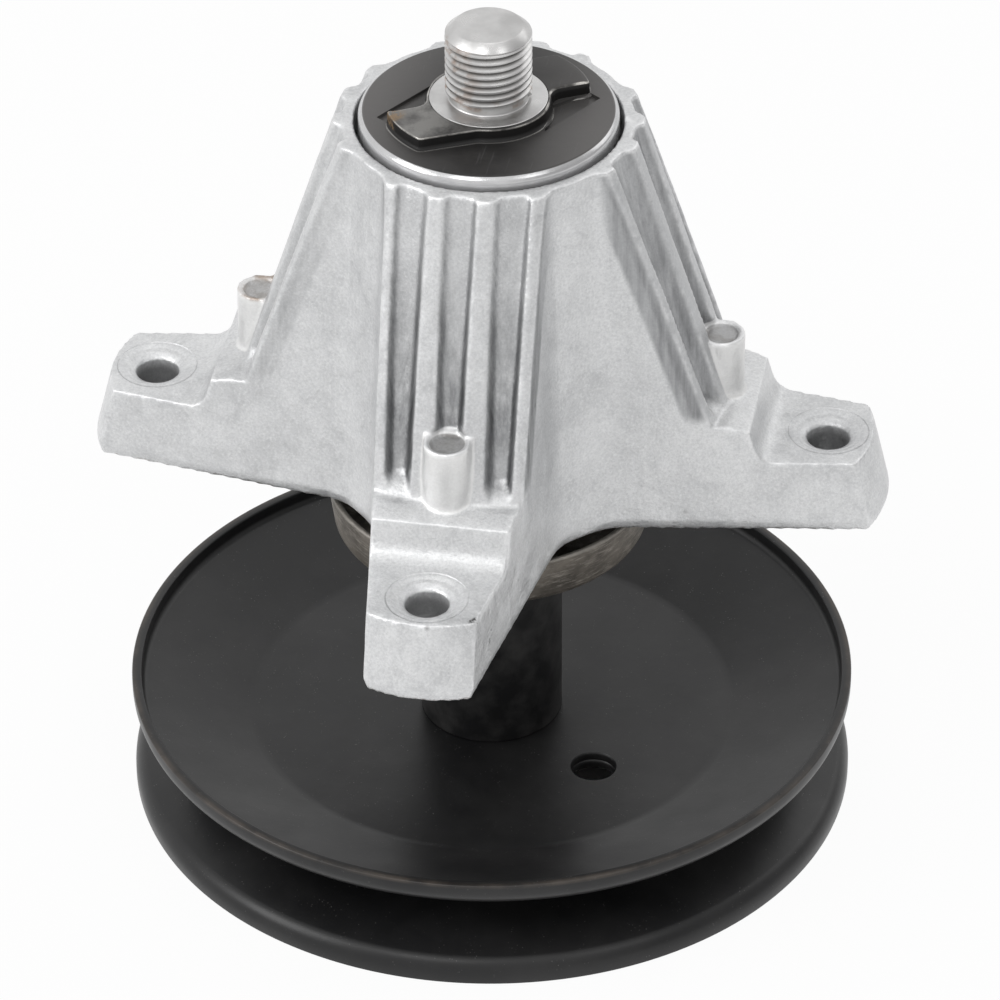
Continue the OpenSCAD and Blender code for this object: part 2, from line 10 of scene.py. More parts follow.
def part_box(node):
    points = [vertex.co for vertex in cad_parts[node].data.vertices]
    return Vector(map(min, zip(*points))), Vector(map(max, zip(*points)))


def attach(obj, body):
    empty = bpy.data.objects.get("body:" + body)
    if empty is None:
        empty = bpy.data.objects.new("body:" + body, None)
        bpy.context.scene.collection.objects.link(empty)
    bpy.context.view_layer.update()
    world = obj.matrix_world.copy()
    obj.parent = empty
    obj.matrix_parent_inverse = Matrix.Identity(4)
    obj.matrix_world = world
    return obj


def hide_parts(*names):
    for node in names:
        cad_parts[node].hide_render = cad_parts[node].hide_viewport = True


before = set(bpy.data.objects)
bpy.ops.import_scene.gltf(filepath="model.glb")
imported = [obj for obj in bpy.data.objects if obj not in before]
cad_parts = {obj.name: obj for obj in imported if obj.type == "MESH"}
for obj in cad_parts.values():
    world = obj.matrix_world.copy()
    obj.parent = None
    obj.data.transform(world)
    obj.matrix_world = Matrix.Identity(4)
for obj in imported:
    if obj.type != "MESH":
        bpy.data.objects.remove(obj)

bl_info = {
    "name": "Mower deck spindle",
    "version": (1, 0, 0),
    "blender": (4, 5, 0),
    "location": "3D View > Sidebar > Spindle",
    "description": "Builds the finished pieces of a mower deck spindle round its CAD solids",
    "category": "Add Mesh",
}

MM = 0.001
FULL_TURN = 2 * math.pi
UP = Vector((0, 0, 1))
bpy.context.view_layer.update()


def low(node):
    """Lowest corner of a CAD node, in millimetres."""
    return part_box(node)[0] / MM


def high(node):
    """Highest corner of a CAD node, in millimetres."""
    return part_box(node)[1] / MM


PULLEY_R = high("pulley_upper_disc").x
PULLEY_H = high("pulley_upper_disc").z
SHAFT_TOP = high("shaft").z
SHAFT_BOTTOM = low("shaft").z
STUD_R = 8.0
WEB_R = 46.98
FLANGE_LIP = 7.43
WEB_HOLE_R, WEB_HOLE_AT = 4.2, 28.8
WEB_HOLE_TURNS = (-37, 143)
PULLEY_BORE = 6.9
KEY_TOP = high("drive_key_disc").z
DISC_R = high("drive_key_disc").x
DISC_SEAT = low("drive_key_disc").z
DISC_FACE = KEY_TOP - 2.5
CUP_R = high("dust_cup").x
CUP_TOP = high("dust_cup").z
CUP_BOTTOM = low("dust_cup").z
TUBE_R = high("hub_spacer").x
FOOT_Z = low("housing").z
RIM_Z = high("housing").z
PAD_TOP = FOOT_Z + 15
BOLT_R = 64.3
BOSS_TOP = PAD_TOP + 20
BOSS_AT = 43.7
# Radius of the ribs at the rim, depth of the grooves there, and how fast each grows downwards
RIB_RIM_R, RIB_FALL = 28.5, 0.325
GROOVE_RIM_DEPTH, GROOVE_FALL = 1.6, 0.0292
CAST_METALLIC = 0.65


# Sizes and colours that a user may change

def length(name, text, default):
    return FloatProperty(name=name, description=text, default=default * MM, min=0, subtype="DISTANCE",
                         unit="LENGTH", precision=5)


def colour(name, text, default):
    return FloatVectorProperty(name=name, description=text, default=default, size=3, min=0, max=1,
                               subtype="COLOR")


class SpindleSizes(bpy.types.PropertyGroup):
    """Sizes of what the finished pieces add to the solids."""
    grain: length("Casting grid", "Size of the cells in which the casting is skinned", 0.5)
    cast_roughness: length("Casting roughness", "Height of the uneven skin of the casting", 0.16)
    sheet: length("Pulley sheet", "Thickness of the pressed pulley discs", 1.9)
    cup_sheet: length("Cup sheet", "Thickness of the dust cup", 1.2)
    pitch: length("Thread pitch", "Pitch of the thread on the blade stud", 1.5)
    thread_depth: length("Thread depth", "Depth of the thread on the blade stud", 0.85)
    turns: IntProperty(name="Round steps", description="Number of steps round a turned piece", default=224,
                       min=32, max=512)


class SpindleColours(bpy.types.PropertyGroup):
    """Colours of the finished pieces."""
    aluminium: colour("Cast aluminium", "Colour of the casting's skin", (0.695, 0.70, 0.705))
    # The dark colour is the skin's own darker tone and also the painted shade in creases, grooves and bolt
    # holes.
    aluminium_dark: colour("Stained aluminium", "Colour of the casting in its stains and grooves",
                           (0.34, 0.345, 0.355))
    steel: colour("Bright steel", "Colour of the turned shaft", (0.61, 0.605, 0.60))
    oxide: colour("Black oxide", "Colour of the key disc", (0.026, 0.025, 0.0245))
    paint: colour("Black paint", "Colour of the pulley and the hub spacer", (0.006, 0.006, 0.0065))
    cup: colour("Bare sheet", "Colour of the dust cup", (0.20, 0.18, 0.155))
    rust: colour("Rust", "Colour of the light rust", (0.23, 0.105, 0.035))
    dust: colour("Dust", "Colour of the dust on the paint", (0.35, 0.34, 0.33))


def sizes():
    return bpy.context.scene.spindle_sizes


def colours():
    return bpy.context.scene.spindle_colours


# Materials

class Finish:
    """Builds one procedural material on object coordinates, in metres."""

    def __init__(self, name):
        self.material = bpy.data.materials.new(name)
        self.material.use_nodes = True
        self.nodes = self.material.node_tree.nodes
        self.links = self.material.node_tree.links
        self.shader = self.nodes["Principled BSDF"]
        self.place = self.nodes.new("ShaderNodeTexCoord").outputs["Object"]

    def add(self, kind, **inputs):
        node = self.nodes.new(kind)
        for key, value in inputs.items():
            self.join(node.inputs[key.replace("_", " ")], value)
        return node

    def join(self, socket, value):
        if isinstance(value, bpy.types.NodeSocket):
            self.links.new(value, socket)
        else:
            socket.default_value = value

    def stretched(self, scale, turn=(0, 0, 0)):
        node = self.add("ShaderNodeMapping", Vector=self.place)
        node.inputs["Scale"].default_value = scale
        node.inputs["Rotation"].default_value = turn
        return node.outputs["Vector"]

    def noise(self, scale, detail=4.0, roughness=0.55, vector=None, distortion=0.0):
        node = self.add("ShaderNodeTexNoise", Vector=vector or self.place, Scale=scale, Detail=detail,
                        Roughness=roughness, Distortion=distortion)
        return node.outputs["Fac"]

    def specks(self, scale, size, vector=None):
        """White where a point lies near the middle of a random cell."""
        node = self.add("ShaderNodeTexVoronoi", Vector=vector or self.place, Scale=scale)
        return self.ramp(node.outputs["Distance"], (0.0, 1.0), (size, 0.0))

    def ramp(self, value, *stops):
        """Maps a value through grey stops, each given as a position and a level."""
        node = self.nodes.new("ShaderNodeValToRGB")
        ramp = node.color_ramp
        for i, (position, level) in enumerate(stops):
            stop = ramp.elements[i] if i < 2 else ramp.elements.new(position)
            stop.position = position
            stop.color = (level, level, level, 1)
        self.links.new(value, node.inputs["Fac"])
        return node.outputs["Color"]

    def mix(self, share, first, second, blend="MIX"):
        node = self.nodes.new("ShaderNodeMix")
        node.data_type = "RGBA"
        node.blend_type = blend
        node.clamp_factor = True
        self.join(node.inputs[0], share)
        for socket, value in ((node.inputs[6], first), (node.inputs[7], second)):
            self.join(socket, value if isinstance(value, bpy.types.NodeSocket) else (*value, 1))
        return node.outputs[2]

    def math(self, operation, first, second=0.0, third=0.0):
        node = self.nodes.new("ShaderNodeMath")
        node.operation = operation
        for socket, value in zip(node.inputs, (first, second, third)):
            self.join(socket, value)
        return node.outputs[0]

    def times(self, first, second):
        return self.math("MULTIPLY", first, second)

    def bump(self, height, distance, normal=None, strength=1.0):
        node = self.add("ShaderNodeBump", Height=height, Distance=distance * MM, Strength=strength)
        if normal is not None:
            self.links.new(normal, node.inputs["Normal"])
        return node.outputs["Normal"]

    def axis_values(self):
        """The x, y and z of a point, and its distance from the shaft's axis."""
        split = self.add("ShaderNodeSeparateXYZ", Vector=self.place).outputs
        flat = self.math("SQRT",
                         self.math("ADD", self.math("POWER", split[0], 2.0),
                                   self.math("POWER", split[1], 2.0)))
        return split[0], split[1], split[2], flat

    def band(self, value, start, full):
        """Goes from 0 to 1 as a length in metres goes from start to full, both in millimetres."""
        node = self.nodes.new("ShaderNodeMapRange")
        node.interpolation_type = "SMOOTHSTEP"
        for socket, item in zip(node.inputs, (value, start * MM, full * MM, 0.0, 1.0)):
            self.join(socket, item)
        return node.outputs[0]

    def near(self, point, reach, soft):
        """1 within a reach of a point, in millimetres, falling to 0 over a soft edge."""
        node = self.nodes.new("ShaderNodeVectorMath")
        node.operation = "DISTANCE"
        self.links.new(self.place, node.inputs[0])
        node.inputs[1].default_value = Vector(point) * MM
        return self.band(node.outputs["Value"], reach + soft, reach)

    def ring_about(self, x, y, circle_r, empty, full):
        """1 within a radius of an axis on each of the four legs, 0 outside it."""
        across, along = self.math("ABSOLUTE", x), self.math("ABSOLUTE", y)
        out = self.math("SUBTRACT", self.math("MAXIMUM", across, along), circle_r * MM)
        side = self.math("MINIMUM", across, along)
        away = self.math("SQRT", self.math("ADD", self.times(out, out), self.times(side, side)))
        return self.band(away, empty, full)

    def flutes(self, x, y, z, r):
        """Masks of the fluted faces of the legs, of the grooves in them and of the grooves' side walls."""
        across = self.math("MINIMUM", self.math("ABSOLUTE", x), self.math("ABSOLUTE", y))
        face = self.times(self.band(across, 15.8, 15.0), self.band(z, PAD_TOP + 8.0, PAD_TOP + 11.0))
        face = self.times(face, self.band(z, RIM_Z - 0.4, RIM_Z - 1.0))
        ribs = self.math("ADD", self.times(z, -RIB_FALL), (RIB_RIM_R + RIB_FALL * RIM_Z) * MM)
        depth = self.math("SUBTRACT", ribs, r)
        face = self.times(face, self.band(depth, 4.5, 3.5))
        inside = self.times(face, self.band(depth, 0.1, 2.0))
        floor = self.math("ADD", self.times(z, -GROOVE_FALL), (GROOVE_RIM_DEPTH + GROOVE_FALL * RIM_Z) * MM)
        above_floor = self.math("SUBTRACT", floor, depth)
        walls = self.times(self.times(face, self.band(depth, 0.0, 1.0)), self.band(above_floor, 0.0, 1.0))
        return face, inside, walls

    def edges(self, lower, upper):
        """Goes from 0 to 1 as the pointiness of the shape goes from one value to another."""
        point = self.nodes.new("ShaderNodeNewGeometry").outputs["Pointiness"]
        stops = sorted(((lower, 0.0), (upper, 1.0)))
        return self.ramp(point, *stops)

    def put(self, **values):
        for key, value in values.items():
            self.join(self.shader.inputs[key.replace("_", " ")], value)
        return self.material


def finish_cast_aluminium():
    """Die-cast skin: pale, mottled and finely grained, with a few stains and nicks, painted shade in its
    creases, grooves and bolt holes, and edges lightened by wear and a painted highlight.
    """
    c = colours()
    f = Finish("cast_aluminium")
    x, y, z, r = f.axis_values()
    clouds = f.noise(34, 6, 0.65, distortion=0.4)
    streaks = f.noise(1.0, 5, 0.65, f.stretched((240, 240, 40)))
    mottle = f.noise(190, 6, 0.72, distortion=0.5)
    grain = f.noise(1900, 3, 0.7)
    dark = tuple(c.aluminium_dark)
    base = f.mix(f.times(f.ramp(clouds, (0.46, 0.0), (0.64, 1.0)), 0.28), tuple(c.aluminium), dark)
    base = f.mix(f.times(f.ramp(streaks, (0.50, 0.0), (0.68, 1.0)), 0.16), base, dark)
    base = f.mix(f.times(f.ramp(mottle, (0.50, 0.0), (0.64, 1.0)), 0.30), base, (0.84, 0.845, 0.85))
    base = f.mix(f.times(f.ramp(mottle, (0.34, 1.0), (0.45, 0.0)), 0.26), base, dark)
    base = f.mix(f.times(f.ramp(grain, (0.34, 1.0), (0.52, 0.0)), 0.24), base, dark)
    base = f.mix(f.times(f.ramp(grain, (0.54, 0.0), (0.68, 1.0)), 0.30), base, (0.92, 0.92, 0.925))
    # Painted shade in the concave creases, found from the shape's pointiness.
    hollow_shade = f.edges(0.487, 0.42)
    base = f.mix(f.times(hollow_shade, 0.16), base, tuple(0.5 * v for v in dark))
    # Painted shade in the leg grooves and on their side walls: broken up by vertical streaks, darker lower
    # down, strongest on the right leg, which faces away from the light, and weaker on the left leg, which
    # faces it.
    flute, inside, walls = f.flutes(x, y, z, r)
    shade_breakup = f.ramp(f.noise(1.0, 5, 0.7, f.stretched((420, 420, 22))), (0.34, 0.35), (0.62, 1.0))
    low_down = f.times(f.band(z, PAD_TOP + 54, PAD_TOP + 22),
                       f.math("MULTIPLY_ADD", f.band(z, PAD_TOP + 6, PAD_TOP + 22), 0.55, 0.45))
    low_down = f.math("MULTIPLY_ADD", low_down, 0.66, 0.18)
    right_leg = f.band(x, 20.0, 27.0)
    less_shade_on_left_leg = f.math("SUBTRACT", 1.0, f.times(f.band(x, -20.0, -27.0), 0.65))
    base = f.mix(f.times(flute, f.math("MULTIPLY_ADD", right_leg, 0.42, 0.08)), base, dark)
    low_down = f.times(f.math("MAXIMUM", low_down, f.times(right_leg, 0.65)), less_shade_on_left_leg)
    base = f.mix(f.times(f.times(inside, shade_breakup), low_down), base, tuple(0.55 * v for v in dark))
    base = f.mix(f.times(f.times(f.times(walls, shade_breakup), less_shade_on_left_leg), 0.50), base,
                 tuple(0.30 * v for v in dark))
    # Convex edges lightened: partly real wear, partly a painted highlight along the edges.
    worn = f.times(f.edges(0.512, 0.56), f.ramp(f.noise(420, 4), (0.38, 0.0), (0.56, 1.0)))
    base = f.mix(f.times(worn, 0.70), base, (0.93, 0.93, 0.935))
    nicks = f.times(f.specks(120, 0.08), f.ramp(f.noise(60, 2), (0.56, 0.0), (0.62, 1.0)))
    base = f.mix(f.times(nicks, 0.7), base, (0.10, 0.095, 0.09))
    # Painted shade inside the bolt holes.
    bore = f.times(f.ring_about(x, y, BOLT_R, 4.6, 4.3), f.band(z, PAD_TOP - 1.8, PAD_TOP - 4.0))
    base = f.mix(f.times(bore, 0.50), base, (0.08, 0.08, 0.082))
    recess = f.times(f.ring_about(x, y, BOSS_AT, 3.7, 3.2), f.band(z, BOSS_TOP - 0.15, BOSS_TOP - 0.5))
    recess = f.times(recess, f.band(z, BOSS_TOP - 2.5, BOSS_TOP - 1.5))
    base = f.mix(f.times(f.times(recess, f.ramp(mottle, (0.38, 0.3), (0.58, 1.0))), 0.65), base,
                 (0.24, 0.225, 0.21))
    lip = f.times(f.ring_about(x, y, BOSS_AT, 5.2, 4.9), f.band(z, BOSS_TOP - 0.9, BOSS_TOP - 0.3))
    lip = f.times(f.times(lip, f.math("SUBTRACT", 1.0, recess)), f.band(z, BOSS_TOP + 0.5, BOSS_TOP + 0.2))
    post = f.times(f.ring_about(x, y, BOSS_AT, 5.2, 4.8), f.band(z, BOSS_TOP - 15.0, BOSS_TOP - 12.0))
    post = f.times(post, f.band(z, BOSS_TOP + 0.1, BOSS_TOP - 0.4))
    base = f.mix(f.times(f.times(post, f.math("SUBTRACT", 1.0, recess)), 0.55), base, (0.93, 0.925, 0.91))
    base = f.mix(f.times(lip, 0.5), base, (0.93, 0.93, 0.93))
    ragged = f.ramp(f.noise(700, 4, 0.7), (0.50, 0.0), (0.60, 1.0))
    foot = f.times(f.band(z, FOOT_Z + 0.9, FOOT_Z + 0.3),
                   f.math("MULTIPLY_ADD", f.band(z, FOOT_Z + 0.1, FOOT_Z + 0.25), 0.7, 0.3))
    foot = f.times(foot, ragged)
    base = f.mix(f.times(foot, 0.65), base, (0.16, 0.125, 0.10))
    for point, reach in (((9.9, -69.4, PAD_TOP), 0.5), ((9.0, -69.9, PAD_TOP), 0.4),
                         ((11.5, -63.0, 78.2), 0.45),
                         ((11.35, -64.3, 77.2), 0.35), ((10.4, -70.6, 75.8), 0.3)):
        nick = f.times(f.near(point, reach, 0.5), ragged)
        base = f.mix(f.times(nick, 0.9), base, (0.05, 0.047, 0.045))
    boss = f.near((-BOSS_AT, 0.0, BOSS_TOP), 4.0, 0.9)
    rim = f.times(boss, f.band(z, BOSS_TOP - 0.9, BOSS_TOP - 0.1))
    stain = f.ramp(f.noise(330, 4, 0.6), (0.40, 0.15), (0.60, 1.0))
    base = f.mix(f.times(f.times(rim, stain), 0.75), base, (0.24, 0.16, 0.10))
    rough = f.ramp(mottle, (0.32, 0.30), (0.68, 0.46))
    bare = f.math("MAXIMUM", worn, inside)
    rough = f.mix(bare, rough, (0.28, 0.28, 0.28))
    metal = f.mix(bare, (CAST_METALLIC,) * 3, (0.88, 0.88, 0.88))
    height = f.math("ADD", f.times(mottle, 0.5), f.times(grain, 0.25))
    seats = f.times(f.ring_about(x, y, BOLT_R, 7.75, 7.35), f.band(z, PAD_TOP - 0.8, PAD_TOP - 0.3))
    shape = f.bump(f.noise(70, 4, 0.5), 0.7, f.bump(seats, -0.25), strength=0.8)
    return f.put(Base_Color=base, Metallic=metal, Roughness=rough,
                 Normal=f.bump(height, 0.42, shape, strength=0.8))


def finish_turned_steel(name, base, rusty):
    """Bright turned steel with fine lines round the axis and, on the stud, light rust and painted shade in
    the thread's valleys.
    """
    c = colours()
    f = Finish(name)
    x, y, z, r = f.axis_values()
    lines = f.noise(1.0, 3, 0.7, f.add("ShaderNodeCombineXYZ", X=f.times(r, 3800.0),
                                       Y=f.times(z, 3800.0)).outputs["Vector"])
    patches = f.noise(120, 4, 0.6)
    colour_now = f.mix(f.ramp(patches, (0.42, 0.0), (0.68, 0.45)), base, tuple(0.55 * v for v in base))
    if rusty:
        spots = f.ramp(f.noise(260, 5, 0.65), (0.47, 0.0), (0.60, 1.0))
        left = f.band(x, 3.0, -8.0)
        foot = f.band(z, SHAFT_TOP - 9.0, SHAFT_TOP - 14.5)
        on_thread = f.band(z, SHAFT_TOP - 14.6, SHAFT_TOP - 13.8)
        share = f.times(spots, f.math("MAXIMUM", f.times(left, 0.62), f.times(foot, 0.50)))
        share = f.times(share, on_thread)
        below_top = f.band(z, SHAFT_TOP - 0.6, SHAFT_TOP - 2.5)
        share = f.times(share, below_top)
        colour_now = f.mix(share, colour_now, tuple(c.rust))
        # Painted shade in the valleys of the thread.
        valley_shade = f.times(f.band(r, STUD_R - 0.25, STUD_R - 0.75),
                          f.band(z, SHAFT_TOP - 14.0, SHAFT_TOP - 13.0))
        valley_shade = f.times(valley_shade, f.band(z, SHAFT_TOP - 1.2, SHAFT_TOP - 1.8))
        colour_now = f.mix(f.times(valley_shade, 0.6), colour_now, (0.12, 0.115, 0.11))
    rough = f.ramp(patches, (0.35, 0.24), (0.7, 0.42))
    return f.put(Base_Color=colour_now, Metallic=1.0, Roughness=rough,
                 Normal=f.bump(lines, 0.02, strength=0.6))


def finish_black_oxide():
    """Satin black oxide, rubbed to bright steel on its turned edge and a little rusty on the key, with a
    painted sheen towards its sides, painted shade on the key's walls and painted highlights along the key's
    top edges and feet.
    """
    c = colours()
    f = Finish("black_oxide")
    x, y, z, r = f.axis_values()
    cloud = f.noise(90, 5, 0.6)
    base = f.mix(f.ramp(cloud, (0.4, 0.0), (0.68, 1.0)), tuple(c.oxide), tuple(1.6 * v for v in c.oxide))
    # Painted sheen: the disc face lighter towards its left and right sides, as a reflection would make it.
    side_sheen = f.band(f.math("ABSOLUTE", x), 3.0, 24.0)
    base = f.mix(f.times(side_sheen, 0.6), base, tuple(7.0 * v for v in c.oxide))
    scratches = f.ramp(f.noise(1.0, 4, 0.7, f.stretched((900, 60, 900), (0, 0, 0.7))), (0.62, 0.0),
                       (0.72, 1.0))
    base = f.mix(f.times(scratches, 0.12), base, (0.30, 0.30, 0.30))
    # Painted shade on the key's walls, below its top.
    key = f.times(f.band(r, 20.8, 20.5), f.band(z, DISC_FACE + 0.03, DISC_FACE + 0.10))
    top = f.band(z, KEY_TOP - 0.16, KEY_TOP - 0.05)
    base = f.mix(f.times(key, f.math("SUBTRACT", 1.0, top)), base, tuple(0.5 * v for v in c.oxide))
    patches = f.ramp(f.noise(170, 5, 0.65), (0.38, 0.15), (0.58, 1.0))
    rubbed = f.times(f.times(top, patches), f.band(x, 6.0, -11.0))
    base = f.mix(f.times(rubbed, 0.95), base, (0.23, 0.225, 0.215))
    # A thin bright line along the key's top edge: bare rubbed steel and a painted highlight.
    top_edge_wear_and_highlight = f.times(f.band(z, KEY_TOP - 0.42, KEY_TOP - 0.30), f.band(z, KEY_TOP - 0.02, KEY_TOP - 0.14))
    top_edge_wear_and_highlight = f.times(f.times(top_edge_wear_and_highlight, key), f.ramp(f.noise(230, 4), (0.40, 0.1), (0.60, 1.0)))
    base = f.mix(f.times(top_edge_wear_and_highlight, 0.85), base, (0.60, 0.58, 0.55))
    # Painted highlight: thin light lines at the foot of the key's walls and at the foot of the sunk flats'
    # walls.
    foot = f.times(f.band(z, DISC_FACE + 0.002, DISC_FACE + 0.010),
                   f.band(z, DISC_FACE + 0.060, DISC_FACE + 0.030))
    flat_foot_highlight = f.times(f.band(z, DISC_FACE - 0.69, DISC_FACE - 0.67),
                   f.band(z, DISC_FACE - 0.52, DISC_FACE - 0.60))
    foot = f.times(f.math("MAXIMUM", foot, flat_foot_highlight), f.band(r, 20.9, 20.6))
    base = f.mix(f.times(foot, 0.42), base, (0.46, 0.45, 0.43))
    rim = f.band(r, DISC_R - 0.85, DISC_R - 0.75)
    bright = f.mix(f.noise(300, 3), (0.66, 0.66, 0.665), (0.50, 0.50, 0.505))
    base = f.mix(rim, base, bright)
    tip = f.times(f.near((-16.9, -8.9, KEY_TOP - 0.9), 2.3, 1.4),
                  f.band(z, DISC_FACE + 0.3, DISC_FACE + 0.6))
    rust = f.times(tip, f.ramp(f.noise(1100, 4, 0.7), (0.42, 0.0), (0.54, 1.0)))
    base = f.mix(f.times(rust, 0.85), base, (0.25, 0.17, 0.095))
    bare = f.math("MAXIMUM", rim, f.math("MAXIMUM", top_edge_wear_and_highlight, f.times(foot, 0.7)))
    wall = f.times(f.band(r, DISC_R - 0.3, DISC_R - 0.1), f.band(z, DISC_FACE - 0.6, DISC_FACE - 1.2))
    metal = f.mix(f.math("SUBTRACT", bare, f.times(wall, 0.5)), (0.25, 0.25, 0.25), (1, 1, 1))
    rough = f.mix(bare, f.ramp(cloud, (0.35, 0.34), (0.7, 0.46)), (0.21, 0.21, 0.21))
    lines = f.noise(1.0, 2, 0.7, f.add("ShaderNodeCombineXYZ", X=f.times(r, 6500.0)).outputs["Vector"])
    normal = f.bump(lines, 0.014, f.bump(f.noise(500, 4), 0.03), strength=1.0)
    f.shader.inputs["Specular IOR Level"].default_value = 0.3
    return f.put(Base_Color=base, Metallic=metal, Roughness=rough, Normal=normal)


def finish_black_paint():
    """Satin black paint with fine dust and brown wear on the upper rims."""
    c = colours()
    f = Finish("pulley_paint")
    x, y, z, r = f.axis_values()
    dust = f.times(f.specks(1500, 0.20), f.ramp(f.noise(420, 3), (0.52, 0.0), (0.66, 1.0)))
    smear = f.ramp(f.noise(38, 5, 0.6), (0.44, 0.0), (0.72, 1.0))
    base = f.mix(f.times(smear, 0.035), tuple(c.paint), tuple(c.dust))
    base = f.mix(f.times(dust, 0.5), base, tuple(c.dust))
    top_edge = f.times(f.band(r, PULLEY_R - 1.4, PULLEY_R - 0.4), f.band(z, PULLEY_H - 0.8, PULLEY_H - 0.1))
    worn = f.times(top_edge, f.ramp(f.noise(150, 4), (0.38, 0.25), (0.62, 1.0)))
    base = f.mix(f.times(worn, 0.4), base, (0.13, 0.105, 0.085))
    rough = f.ramp(f.noise(60, 5, 0.6), (0.3, 0.30), (0.7, 0.40))
    normal = f.bump(f.noise(700, 3, 0.5), 0.016, f.bump(f.noise(120, 3, 0.5), 0.02))
    f.put(Base_Color=base, Roughness=rough, Normal=normal)
    f.shader.inputs["Specular IOR Level"].default_value = 0.42
    return f.material


def finish_matte_black():
    """Black coated tube, duller than the pulley."""
    c = colours()
    f = Finish("black_paint")
    base = f.mix(f.ramp(f.noise(140, 5, 0.6), (0.4, 0.0), (0.7, 0.10)), tuple(c.paint), tuple(c.dust))
    normal = f.bump(f.noise(900, 4, 0.6), 0.03)
    f.put(Base_Color=base, Roughness=f.ramp(f.noise(80, 4), (0.3, 0.45), (0.7, 0.6)), Normal=normal)
    f.shader.inputs["Specular IOR Level"].default_value = 0.4
    return f.material


def finish_bare_sheet():
    """Dull grey-brown pressed sheet with scratches round it and a lighter worn edge."""
    c = colours()
    f = Finish("bare_sheet")
    x, y, z, r = f.axis_values()
    cloud = f.noise(110, 6, 0.65)
    base = f.mix(f.ramp(cloud, (0.38, 0.0), (0.66, 1.0)), tuple(c.cup), tuple(0.45 * v for v in c.cup))
    scuffs = f.ramp(f.noise(1.0, 5, 0.7, f.stretched((260, 260, 1500))), (0.50, 0.0), (0.66, 1.0))
    base = f.mix(f.times(scuffs, 0.5), base, (0.40, 0.37, 0.33))
    lip = f.band(z, CUP_TOP - 0.7, CUP_TOP - 0.1)
    base = f.mix(f.times(lip, 0.4), base, (0.42, 0.40, 0.37))
    rough = f.ramp(cloud, (0.3, 0.38), (0.7, 0.58))
    return f.put(Base_Color=base, Metallic=0.75, Roughness=rough,
                 Normal=f.bump(scuffs, 0.04, f.bump(cloud, 0.12)))


def finish_simple(name, base, metallic, rough_low, rough_high, grain=300, depth=0.03):
    """A plain finish with a fine grain and a little variation."""
    f = Finish(name)
    cloud = f.noise(grain, 4, 0.6)
    tint = f.mix(f.ramp(cloud, (0.35, 0.0), (0.7, 1.0)), base, tuple(0.7 * v for v in base))
    rough = f.ramp(f.noise(grain / 3, 3), (0.3, rough_low), (0.7, rough_high))
    return f.put(Base_Color=tint, Metallic=metallic, Roughness=rough, Normal=f.bump(cloud, depth))


# Mesh tools

def settle(name, bm, material, body, nodes, smooth_below=38):
    """Makes an object of a bmesh given in millimetres, parents it to the body it rides on and hides the CAD
    parts it stands in for.
    """
    bmesh.ops.transform(bm, matrix=Matrix.Scale(MM, 4), verts=bm.verts)
    bm.normal_update()
    limit = math.radians(smooth_below)
    for face in bm.faces:
        face.smooth = True
    for edge in bm.edges:
        edge.smooth = len(edge.link_faces) == 2 and edge.calc_face_angle(0) < limit
    mesh = bpy.data.meshes.new(name)
    bm.to_mesh(mesh)
    bm.free()
    obj = bpy.data.objects.new(name, mesh)
    bpy.context.scene.collection.objects.link(obj)
    obj.data.materials.append(material)
    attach(obj, body)
    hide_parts(*nodes)
    return obj


def turned(outline, steps=None):
    """Spins a closed outline of (radius, height, rounding) about the axis.

    Rounding is the length of the corner cut.
    """
    bm = bmesh.new()
    corners = [bm.verts.new((r, 0, z)) for r, z, _ in outline]
    bm.faces.new(corners)
    bm.verts.ensure_lookup_table()
    by_size = {}
    for vert, (_, _, rounding) in zip(corners, outline):
        if rounding:
            by_size.setdefault(rounding, []).append(vert)
    for rounding, verts in by_size.items():
        bmesh.ops.bevel(bm, geom=verts, offset=rounding, offset_type="OFFSET",
                        segments=6 if rounding > 0.6 else 3,
                        profile=0.5, affect="VERTICES", material=-1)
    bmesh.ops.delete(bm, geom=bm.faces[:], context="FACES_ONLY")
    on_axis = [e for e in bm.edges if all(abs(v.co.x) < 1e-6 for v in e.verts)]
    bmesh.ops.delete(bm, geom=on_axis, context="EDGES")
    bmesh.ops.spin(bm, geom=bm.verts[:] + bm.edges[:], cent=(0, 0, 0), axis=(0, 0, 1), dvec=(0, 0, 0),
                   angle=FULL_TURN, steps=steps or sizes().turns, use_merge=True)
    bmesh.ops.remove_doubles(bm, verts=bm.verts, dist=1e-5)
    bmesh.ops.recalc_face_normals(bm, faces=bm.faces)
    return bm


def cut(bm, cutters):
    """Takes each cutter bmesh away from a bmesh, and returns the rest."""
    body = bpy.data.meshes.new("cut_body")
    bm.to_mesh(body)
    bm.free()
    holder = bpy.data.objects.new("cut_body", body)
    bpy.context.scene.collection.objects.link(holder)
    tools = []
    for cutter in cutters:
        mesh = bpy.data.meshes.new("cutter")
        cutter.to_mesh(mesh)
        cutter.free()
        tool = bpy.data.objects.new("cutter", mesh)
        bpy.context.scene.collection.objects.link(tool)
        step = holder.modifiers.new("cut", "BOOLEAN")
        step.operation = "DIFFERENCE"
        step.solver = "EXACT"
        step.object = tool
        tools.append(tool)
    rest = bmesh.new()
    rest.from_object(holder, bpy.context.evaluated_depsgraph_get())
    for item in [holder, *tools]:
        mesh = item.data
        bpy.data.objects.remove(item)
        bpy.data.meshes.remove(mesh)
    bmesh.ops.remove_doubles(rest, verts=rest.verts, dist=1e-5)
    return rest


def placed(bm, matrix):
    bmesh.ops.transform(bm, matrix=matrix, verts=bm.verts)
    return bm


def box_shape(size, centre):
    bm = bmesh.new()
    bmesh.ops.create_cube(bm, size=1)
    bmesh.ops.scale(bm, vec=size, verts=bm.verts)
    bmesh.ops.translate(bm, vec=centre, verts=bm.verts)
    return bm


# Operators

